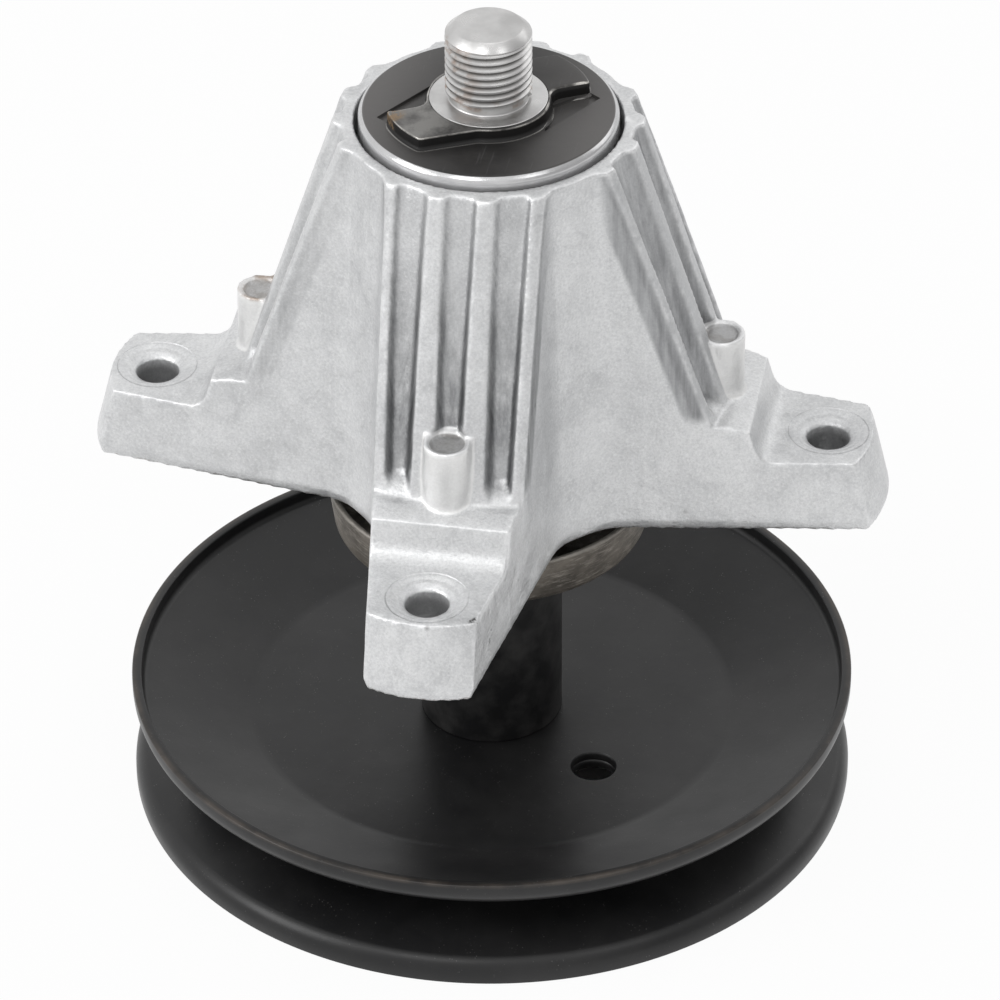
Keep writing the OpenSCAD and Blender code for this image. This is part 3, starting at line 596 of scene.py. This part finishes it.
class SPINDLE_OT_casting(bpy.types.Operator):
    """Skin the housing solid as one soft-edged casting"""
    bl_idname = "spindle.casting"
    bl_label = "Housing casting"

    def execute(self, context):
        grid = sizes().grain
        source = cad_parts["housing"]
        bm = bmesh.new()
        bm.from_mesh(source.data)
        bmesh.ops.remove_doubles(bm, verts=bm.verts, dist=1e-6)
        mesh = bpy.data.meshes.new("housing_casting")
        bm.to_mesh(mesh)
        bm.free()
        rough = bpy.data.objects.new("housing_casting", mesh)
        context.scene.collection.objects.link(rough)
        skin = rough.modifiers.new("skin", "REMESH")
        skin.mode = "VOXEL"
        skin.voxel_size = grid
        soften = rough.modifiers.new("soften", "SMOOTH")
        soften.factor = 0.5
        soften.iterations = 2
        grain = bpy.data.textures.new("casting_grain", "CLOUDS")
        grain.noise_scale = 5 * MM
        grain.noise_depth = 3
        uneven = rough.modifiers.new("uneven", "DISPLACE")
        uneven.texture = grain
        uneven.texture_coords = "LOCAL"
        uneven.mid_level = 0.6
        uneven.strength = sizes().cast_roughness
        thin = rough.modifiers.new("thin", "DECIMATE")
        thin.ratio = 0.32
        final = bpy.data.meshes.new_from_object(rough.evaluated_get(context.evaluated_depsgraph_get()))
        bpy.data.objects.remove(rough)
        bm = bmesh.new()
        bm.from_mesh(final)
        bmesh.ops.transform(bm, matrix=Matrix.Scale(1 / MM, 4), verts=bm.verts)
        settle("housing_casting", bm, finish_cast_aluminium(), "housing", ["housing"],
               180)
        return {"FINISHED"}


class SPINDLE_OT_pulley(bpy.types.Operator):
    """Spin the two pressed discs of the belt pulley and pierce their holes"""
    bl_idname = "spindle.pulley"
    bl_label = "Belt pulley"

    def execute(self, context):
        paint = finish_black_paint()
        t = sizes().sheet / MM
        middle = PULLEY_H / 2
        outline = [
            (0, 0, 0), (WEB_R, 0, 1.25), (PULLEY_R, FLANGE_LIP, 2.47), (PULLEY_R, middle, 0.35),
            (PULLEY_R - t, middle, 0.35), (PULLEY_R - t, 8.81, 1.09), (46.68, t, 0.95), (0, t, 0),
        ]
        for name, flip in (("pulley_upper_disc", False), ("pulley_lower_disc", True)):
            cutters = []
            wide = WEB_HOLE_R + 1
            for turn in WEB_HOLE_TURNS:
                hole = turned([(0, -1, 0), (wide, -1, 0), (WEB_HOLE_R, 0.35, 0.3),
                               (WEB_HOLE_R, t - 0.35, 0.3), (wide, t + 1, 0), (0, t + 1, 0)], 48)
                cutters.append(placed(hole,
                                      Matrix.Rotation(math.radians(turn), 4,
                                                      "Z") @ Matrix.Translation((WEB_HOLE_AT, 0, 0))))
            cutters.append(turned([(0, -1, 0), (PULLEY_BORE, -1, 0), (PULLEY_BORE, t + 1, 0),
                                   (0, t + 1, 0)], 48))
            bm = cut(turned(outline), cutters)
            if flip:
                bmesh.ops.scale(bm, vec=(1, 1, -1), verts=bm.verts)
                bmesh.ops.recalc_face_normals(bm, faces=bm.faces)
            bmesh.ops.translate(bm, vec=(0, 0, middle), verts=bm.verts)
            settle(name.replace("disc", "sheet"), bm, paint, "rotor", [name], 32)
        return {"FINISHED"}


class SPINDLE_OT_tube(bpy.types.Operator):
    """Spin the black hub spacer"""
    bl_idname = "spindle.tube"
    bl_label = "Hub spacer"

    def execute(self, context):
        bottom, top = low("hub_spacer").z, high("hub_spacer").z
        bore = 10.1
        bm = turned([(bore, bottom, 0.3), (TUBE_R, bottom, 0.3), (TUBE_R, top, 0.5), (bore, top, 0.3)], 160)
        settle("hub_spacer_tube", bm, finish_matte_black(), "rotor", ["hub_spacer"])
        return {"FINISHED"}


class SPINDLE_OT_cup(bpy.types.Operator):
    """Spin the pressed dust cup with its neck"""
    bl_idname = "spindle.cup"
    bl_label = "Dust cup"

    def execute(self, context):
        t = sizes().cup_sheet / MM
        foot = CUP_R - 1.4
        neck = CUP_BOTTOM + 3.6
        bm = turned([
            (TUBE_R, CUP_BOTTOM, 0.3), (foot, CUP_BOTTOM, 1.9), (CUP_R, CUP_TOP, 0.45),
            (CUP_R - t, CUP_TOP, 0.45),
            (foot - t, CUP_BOTTOM + t, 0.9), (TUBE_R + t, CUP_BOTTOM + t, 0.5), (TUBE_R + t, neck, 0.3),
            (TUBE_R, neck, 0.3),
        ])
        settle("dust_cup_pressing", bm, finish_bare_sheet(), "rotor", ["dust_cup"])
        return {"FINISHED"}


class SPINDLE_OT_shaft(bpy.types.Operator):
    """Turn the shaft and roll the thread on its blade stud"""
    bl_idname = "spindle.shaft"
    bl_label = "Shaft with thread"

    def execute(self, context):
        s = sizes()
        depth, pitch = s.thread_depth / MM, s.pitch / MM
        root = STUD_R - depth
        top = SHAFT_TOP
        seat = high("upper_inner_race").z
        web = low("hub_spacer").z
        collar = top - 15.0
        chamfer_z, crown_r = top - 1.3, 6.3
        outline = [
            (0, SHAFT_BOTTOM, 0), (6.3, SHAFT_BOTTOM, 0.2), (STUD_R, SHAFT_BOTTOM + 1.3, 0.2),
            (STUD_R, web, 0),
            (10, web, 0.3), (10, seat, 0), (10.9, seat, 0), (10.9, collar, 0.2), (7.3, collar, 0.3),
            (7.3, collar + 0.9, 0), (root, collar + 1.5, 0), (root, chamfer_z - 0.95, 0),
            (STUD_R - 0.03, chamfer_z - 0.2, 0.12), (crown_r, top, 0.25), (0, top, 0),
        ]
        flats = [box_shape((6, 20, 16), (side * 9.8, 0, web - 8.0)) for side in (-1, 1)]
        bm = cut(turned(outline, 160), flats)
        thread = bmesh.new()
        start_z = collar + 1.15
        turns = (chamfer_z - 0.45 - start_z) / pitch
        steps = 72
        half_root, half_crest = pitch * 0.49, pitch * 0.10
        profile = [thread.verts.new(p) for p in (
            (root - 0.3, 0, -half_root), (root, 0, -half_root), (STUD_R - 0.03, 0, -half_crest),
            (STUD_R - 0.03, 0, half_crest), (root, 0, half_root), (root - 0.3, 0, half_root))]
        face = thread.faces.new(profile)
        count = round(turns * steps)
        bmesh.ops.spin(thread, geom=[face, *face.edges, *face.verts], cent=(0, 0, 0), axis=(0, 0, 1),
                       dvec=(0, 0, pitch / steps), angle=FULL_TURN * count / steps, steps=count)
        bmesh.ops.translate(thread, vec=(0, 0, start_z), verts=thread.verts)
        bmesh.ops.recalc_face_normals(thread, faces=thread.faces)
        for vert in thread.verts:
            r = math.hypot(vert.co.x, vert.co.y)
            limit = min(STUD_R - 0.03, root + 0.55 + (vert.co.z - collar - 0.7))
            if r > limit:
                vert.co.x *= limit / r
                vert.co.y *= limit / r
        joined = bpy.data.meshes.new("thread")
        thread.to_mesh(joined)
        thread.free()
        bm.from_mesh(joined)
        bpy.data.meshes.remove(joined)
        steel = finish_turned_steel("machined_steel", tuple(colours().steel), True)
        settle("shaft_turned", bm, steel, "rotor", ["shaft"], 30)
        return {"FINISHED"}


KEY_RING_R = 11.6
KEY_R = 19.1
KEY_BEND_R = 2.67
BORE_R = 11.0
FLAT_DEPTH = 0.7
# Direction of each long edge of an arm in degrees, and how far it passes from the axis
FAR_TURN, FAR_OUT = 26.0, 10.5
FLANK_TURN, FLANK_OUT = 29.0, 1.53


def polar(r, degrees):
    return Vector((r * math.cos(math.radians(degrees)), r * math.sin(math.radians(degrees))))


def along_arc(centre, r, first, last, steps):
    return [centre + polar(r, first + (last - first) * i / steps) for i in range(steps + 1)]


def along_line(first, last, steps):
    """Points between two ends, without the ends."""
    return [first.lerp(last, i / steps) for i in range(1, steps)]


def key_outline():
    """Points round the S-shaped key.

    Each has the size of its top edge, its foot's height and its foot's fillet.
    """
    points = []
    plain = (0.30, DISC_FACE, 0.8)
    flank = (1.10, DISC_FACE - FLAT_DEPTH, 0.45)
    reach = KEY_RING_R + KEY_BEND_R
    for half in (0, 180):
        across = FLANK_OUT + KEY_BEND_R
        along = math.sqrt(reach ** 2 - across ** 2)
        turn = FLANK_TURN + half
        centre = polar(across, turn - 90) + polar(along, turn)
        inner = turn - math.degrees(math.atan2(across, along))
        bend = along_arc(centre, KEY_BEND_R, inner + 180, turn + 90, 9)
        near = turn - math.degrees(math.asin(FLANK_OUT / KEY_R))
        far = FAR_TURN + half + math.degrees(math.asin(FAR_OUT / KEY_R))
        tip = along_arc(Vector((0, 0)), KEY_R, near, far, 16)
        tip[0] = tip[0].lerp(tip[1], 0.35)
        tip[-1] = tip[-1].lerp(tip[-2], 0.35)
        corner = polar(KEY_R, near).lerp(bend[-1], 0.08)
        far_corner = polar(KEY_R, far)
        across = FAR_OUT + KEY_BEND_R
        along = math.sqrt(reach ** 2 - across ** 2)
        turn = FAR_TURN + half
        centre = polar(across, turn + 90) + polar(along, turn)
        outer = turn + 90 - math.degrees(math.atan2(along, across))
        far_bend = along_arc(centre, KEY_BEND_R, turn + 270, outer + 180, 5)
        leave = far_corner.lerp(far_bend[0], 0.04)
        bend_out = FLANK_OUT + KEY_BEND_R
        ring_end = FLANK_TURN + half + 180 - math.degrees(math.atan2(bend_out,
                                                                     math.sqrt(reach ** 2 - bend_out ** 2)))
        ring = along_arc(Vector((0, 0)), KEY_RING_R, outer, ring_end, 22)[1:-1]
        points += [(p, flank) for p in bend + along_line(bend[-1], corner, 10) + [corner]]
        points += [(p, plain) for p in tip + [leave] + along_line(leave, far_bend[0], 14) + far_bend]
        points += [(p, plain if i < 16 else flank) for i, p in enumerate(ring)]
    return points


def smoothed(values, passes):
    """Rows of numbers round a closed outline, each pulled towards its neighbours."""
    for _ in range(passes):
        values = [tuple((a + 2 * b + c) / 4 for a, b,
                        c in zip(values[i - 1], values[i], values[(i + 1) % len(values)]))
                  for i in range(len(values))]
    return values


def key_shape():
    """Closed shape of the key: filleted foot, upright wall and rounded top edge."""
    outline = key_outline()
    places = [p for p, _ in outline]
    shapes = smoothed([shape for _, shape in outline], 4)
    count = len(places)
    normals = []
    for i in range(count):
        chord = places[(i + 1) % count] - places[i - 1]
        normals.append(Vector((chord.y, -chord.x)).normalized())
    bm = bmesh.new()
    quarter = [math.pi / 2 * i / 5 for i in range(6)]
    levels = [(lambda top, foot, fillet: (fillet, foot - 0.4))]
    for turn in quarter:
        levels.append(lambda top, foot, fillet,
                      a=turn: (fillet * (1 - math.sin(a)), foot + fillet * (1 - math.cos(a))))
    for turn in quarter:
        levels.append(lambda top, foot, fillet,
                      a=turn: (-top * (1 - math.cos(a)), KEY_TOP - top * (1 - math.sin(a))))
    rings = []
    for level in levels:
        ring = []
        for place, normal, shape in zip(places, normals, shapes):
            out, height = level(*shape)
            at = place + normal * out
            ring.append(bm.verts.new((at.x, at.y, height)))
        rings.append(ring)
    for lower, upper in zip(rings, rings[1:]):
        for i in range(count):
            j = (i + 1) % count
            bm.faces.new((lower[i], lower[j], upper[j], upper[i]))
    bm.faces.new(list(reversed(rings[0])))
    bm.faces.new(rings[-1])
    bmesh.ops.recalc_face_normals(bm, faces=bm.faces)
    return bm


def prism(corners, bottom, top):
    bm = bmesh.new()
    face = bm.faces.new([bm.verts.new((x, y, bottom)) for x, y in corners])
    made = bmesh.ops.extrude_face_region(bm, geom=[face])["geom"]
    bmesh.ops.translate(bm, vec=(0, 0, top - bottom),
                        verts=[v for v in made if isinstance(v, bmesh.types.BMVert)])
    bmesh.ops.recalc_face_normals(bm, faces=bm.faces)
    return bm


class SPINDLE_OT_key_disc(bpy.types.Operator):
    """Turn the key disc, sink its flats and raise its S-shaped key"""
    bl_idname = "spindle.key_disc"
    bl_label = "Key disc"

    def execute(self, context):
        hub_r = 13.39
        bottom = DISC_SEAT + 1.4
        disc = turned([
            (BORE_R, DISC_SEAT, 0.2), (hub_r, DISC_SEAT, 0.2), (hub_r, bottom, 0), (DISC_R, bottom, 0.3),
            (DISC_R, DISC_FACE - 0.9, 0.5), (DISC_R - 1.06, DISC_FACE, 0.10), (BORE_R, DISC_FACE, 0),
        ])
        corners = [(11.46, -6.30), (19.55, 6.70), (17.0, 8.5), (10.5, 1.9)]
        flats = []
        for side in (1, -1):
            flats.append(prism([(side * x, side * y) for x, y in corners], DISC_FACE - FLAT_DEPTH,
                               DISC_FACE + 1))
        bm = cut(disc, flats)
        hole = turned([(0, DISC_SEAT, 0), (BORE_R, DISC_SEAT, 0), (BORE_R, KEY_TOP + 1, 0),
                       (0, KEY_TOP + 1, 0)])
        key = cut(key_shape(), [hole])
        joined = bpy.data.meshes.new("key")
        key.to_mesh(joined)
        key.free()
        bm.from_mesh(joined)
        bpy.data.meshes.remove(joined)
        settle("key_disc_forging", bm, finish_black_oxide(), "rotor", ["drive_key_disc"], 30)
        return {"FINISHED"}


class SPINDLE_OT_nut(bpy.types.Operator):
    """Make the washer and the hexagon nut under the pulley"""
    bl_idname = "spindle.nut"
    bl_label = "Washer and nut"

    def execute(self, context):
        zinc = finish_simple("zinc_plate", (0.52, 0.52, 0.48), 1.0, 0.28, 0.42)
        bottom, top = low("washer").z, high("washer").z
        ring = turned([(8.1, bottom, 0.2), (high("washer").x, bottom, 0.3), (high("washer").x, top, 0.3),
                       (8.1, top, 0.2)], 128)
        settle("washer_plate", ring, zinc, "rotor", ["washer"])
        bottom, top = low("pulley_nut").z, high("pulley_nut").z
        corner = high("pulley_nut").x
        nut = bmesh.new()
        bmesh.ops.create_cone(nut, cap_ends=True, segments=6, radius1=corner, radius2=corner,
                              depth=top - bottom,
                              matrix=Matrix.Translation((0, 0, (top + bottom) / 2)))
        flat = corner * math.cos(math.pi / 6)
        fall = (corner - flat) * math.tan(math.pi / 6)
        over = corner + 4
        drop = (over - flat) * math.tan(math.pi / 6)
        hole = turned([(0, bottom - 2, 0), (9.6, bottom - 2, 0), (STUD_R, bottom + 0.6, 0),
                       (STUD_R, top - 0.6, 0), (9.6, top + 2, 0), (0, top + 2, 0)], 96)
        lower = turned([(flat, bottom - 3, 0), (over, bottom - 3, 0), (over, bottom + drop, 0),
                        (flat, bottom, 0)], 96)
        upper = turned([(flat, top, 0), (over, top - drop, 0), (over, top + 3, 0), (flat, top + 3, 0)], 96)
        settle("hexagon_nut", cut(nut, [hole, lower, upper]), zinc, "rotor", ["pulley_nut"],
               25)
        return {"FINISHED"}


class SPINDLE_OT_bearings(bpy.types.Operator):
    """Give the bearings and the inner spacer their finishes"""
    bl_idname = "spindle.bearings"
    bl_label = "Bearing finishes"

    def execute(self, context):
        ground = finish_simple("bearing_steel", (0.58, 0.58, 0.58), 1.0, 0.16, 0.28, 500, 0.01)
        polished = finish_simple("ball_steel", (0.74, 0.74, 0.75), 1.0, 0.05, 0.12, 400, 0.002)
        pressed = finish_simple("cage_steel", (0.36, 0.35, 0.33), 1.0, 0.30, 0.45)
        rubber = finish_simple("seal_rubber", (0.02, 0.02, 0.02), 0.0, 0.5, 0.7, 700, 0.03)
        spacer = finish_turned_steel("turned_steel", (0.45, 0.45, 0.45), False)
        for name, material in (("outer_race", ground), ("inner_race", ground), ("balls", polished),
                               ("cage", pressed),
                               ("seal_top", rubber), ("seal_bottom", rubber)):
            for level in ("upper_", "lower_"):
                give(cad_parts[level + name], material)
        give(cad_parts["race_spacer"], spacer)
        return {"FINISHED"}


def give(obj, material):
    """Puts a material in every slot of a CAD object."""
    if not obj.material_slots:
        obj.data.materials.append(material)
    for place in obj.material_slots:
        place.material = material


# Camera in the row frame, from the fit to the photograph
CAMERA_AT = Vector((0.171898, -0.937964, 0.746367))
CAMERA_TURN = math.radians(10.28)
CAMERA_DIP = math.radians(35.68)
CAMERA_ROLL = math.radians(-0.24)
LENS = 221.5
FILM = 36.0


class SPINDLE_OT_stage(bpy.types.Operator):
    """Set the pale floor, the soft lamps and the camera"""
    bl_idname = "spindle.stage"
    bl_label = "Studio stage"

    def execute(self, context):
        self.floor(context)
        self.world(context)
        for name, at, width, power in (
                ("softbox_left", (-1.15, -0.65, 0.95), 0.8, 7.4),
                ("softbox_front", (-0.23, -0.93, 1.36), 0.45, 2.4),
                ("softbox_right", (0.85, -0.59, 1.30), 0.45, 0.9),
                ("softbox_top", (0.05, 0.10, 1.50), 0.8, 0.9),
                ("softbox_back", (0.95, 0.95, 0.95), 0.8, 1.6)):
            self.lamp(context, name, Vector(at), (width, width), power)
        self.camera(context)
        context.scene.view_settings.view_transform = "Standard"
        return {"FINISHED"}

    def floor(self, context):
        bm = bmesh.new()
        bmesh.ops.create_circle(bm, cap_ends=True, segments=96, radius=12)
        mesh = bpy.data.meshes.new("floor")
        bm.to_mesh(mesh)
        bm.free()
        obj = bpy.data.objects.new("floor", mesh)
        context.scene.collection.objects.link(obj)
        f = Finish("floor_paper")
        f.put(Base_Color=(0.82, 0.82, 0.82, 1), Roughness=0.9)
        f.shader.inputs["Specular IOR Level"].default_value = 0.0
        glow = f.add("ShaderNodeEmission", Color=(1, 1, 1, 1), Strength=1.0)
        path = f.nodes.new("ShaderNodeLightPath").outputs
        seen = f.math("MAXIMUM", path["Is Camera Ray"],
                      f.math("MAXIMUM", path["Is Glossy Ray"], path["Is Transmission Ray"]))
        blend = f.nodes.new("ShaderNodeMixShader")
        x, y, z, r = f.axis_values()
        f.join(blend.inputs[0], f.times(f.times(seen, 0.95), f.band(r, 60.0, 69.0)))
        f.links.new(f.shader.outputs[0], blend.inputs[1])
        f.links.new(glow.outputs[0], blend.inputs[2])
        below = f.nodes.new("ShaderNodeMixShader")
        f.join(below.inputs[0], f.nodes.new("ShaderNodeNewGeometry").outputs["Backfacing"])
        f.links.new(blend.outputs[0], below.inputs[1])
        f.links.new(f.nodes.new("ShaderNodeBsdfTransparent").outputs[0], below.inputs[2])
        f.links.new(below.outputs[0], f.nodes["Material Output"].inputs["Surface"])
        obj.data.materials.append(f.material)

    def world(self, context):
        world = bpy.data.worlds.new("studio")
        context.scene.world = world
        world.use_nodes = True
        nodes, links = world.node_tree.nodes, world.node_tree.links
        background = nodes["Background"]
        split = nodes.new("ShaderNodeSeparateXYZ")
        links.new(nodes.new("ShaderNodeTexCoord").outputs["Generated"], split.inputs[0])
        shade = nodes.new("ShaderNodeMapRange")
        shade.interpolation_type = "SMOOTHSTEP"
        links.new(split.outputs[0], shade.inputs[0])
        for socket, value in zip(list(shade.inputs)[1:5], (0.30, 0.85, 0.96, 0.55)):
            socket.default_value = value
        path = nodes.new("ShaderNodeLightPath").outputs
        seen = nodes.new("ShaderNodeMath")
        seen.operation = "MAXIMUM"
        links.new(path["Is Camera Ray"], seen.inputs[0])
        links.new(path["Is Glossy Ray"], seen.inputs[1])
        level = nodes.new("ShaderNodeMix")
        links.new(seen.outputs[0], level.inputs[0])
        level.inputs[2].default_value = 0.62
        links.new(shade.outputs[0], level.inputs[3])
        background.inputs["Color"].default_value = (1, 1, 1, 1)
        links.new(level.outputs[0], background.inputs["Strength"])

    def lamp(self, context, name, at, size, power):
        data = bpy.data.lights.new(name, "AREA")
        data.shape = "RECTANGLE"
        data.size, data.size_y = size
        data.energy = power
        obj = bpy.data.objects.new(name, data)
        obj.location = at
        obj.rotation_euler = (Vector((0, 0, 0.08)) - at).to_track_quat("-Z", "Y").to_euler()
        context.scene.collection.objects.link(obj)

    def camera(self, context):
        data = bpy.data.cameras.new("camera")
        data.sensor_width = FILM
        data.lens = LENS
        data.clip_start, data.clip_end = 0.05, 50
        obj = bpy.data.objects.new("camera", data)
        forward = Vector((-math.sin(CAMERA_TURN) * math.cos(CAMERA_DIP),
                          math.cos(CAMERA_TURN) * math.cos(CAMERA_DIP),
                          -math.sin(CAMERA_DIP)))
        right = forward.cross(UP).normalized()
        up = right.cross(forward)
        turn, swing = math.cos(CAMERA_ROLL), math.sin(CAMERA_ROLL)
        axes = Matrix((right * turn + up * swing, up * turn - right * swing, -forward)).transposed()
        obj.matrix_world = Matrix.Translation(CAMERA_AT) @ axes.to_4x4()
        context.scene.collection.objects.link(obj)
        context.scene.camera = obj


class SPINDLE_PT_panel(bpy.types.Panel):
    """Lists the pieces of the spindle in the sidebar"""
    bl_idname = "SPINDLE_PT_panel"
    bl_label = "Mower deck spindle"
    bl_space_type = "VIEW_3D"
    bl_region_type = "UI"
    bl_category = "Spindle"

    def draw(self, context):
        for group in (context.scene.spindle_sizes, context.scene.spindle_colours):
            column = self.layout.column()
            for key in group.bl_rna.properties.keys():
                if key not in ("rna_type", "name"):
                    column.prop(group, key)
        for step in STEPS:
            self.layout.operator(step.bl_idname)


STEPS = (
    SPINDLE_OT_casting, SPINDLE_OT_pulley, SPINDLE_OT_tube, SPINDLE_OT_cup, SPINDLE_OT_shaft,
    SPINDLE_OT_key_disc, SPINDLE_OT_nut, SPINDLE_OT_bearings, SPINDLE_OT_stage,
)
CLASSES = (SpindleSizes, SpindleColours, *STEPS, SPINDLE_PT_panel)


def register():
    for item in CLASSES:
        bpy.utils.register_class(item)
    bpy.types.Scene.spindle_sizes = PointerProperty(type=SpindleSizes)
    bpy.types.Scene.spindle_colours = PointerProperty(type=SpindleColours)


def unregister():
    del bpy.types.Scene.spindle_colours
    del bpy.types.Scene.spindle_sizes
    for item in reversed(CLASSES):
        bpy.utils.unregister_class(item)


def main():
    register()
    for step in STEPS:
        group, name = step.bl_idname.split(".")
        getattr(getattr(bpy.ops, group), name)()


if __name__ == "__main__":
    main()
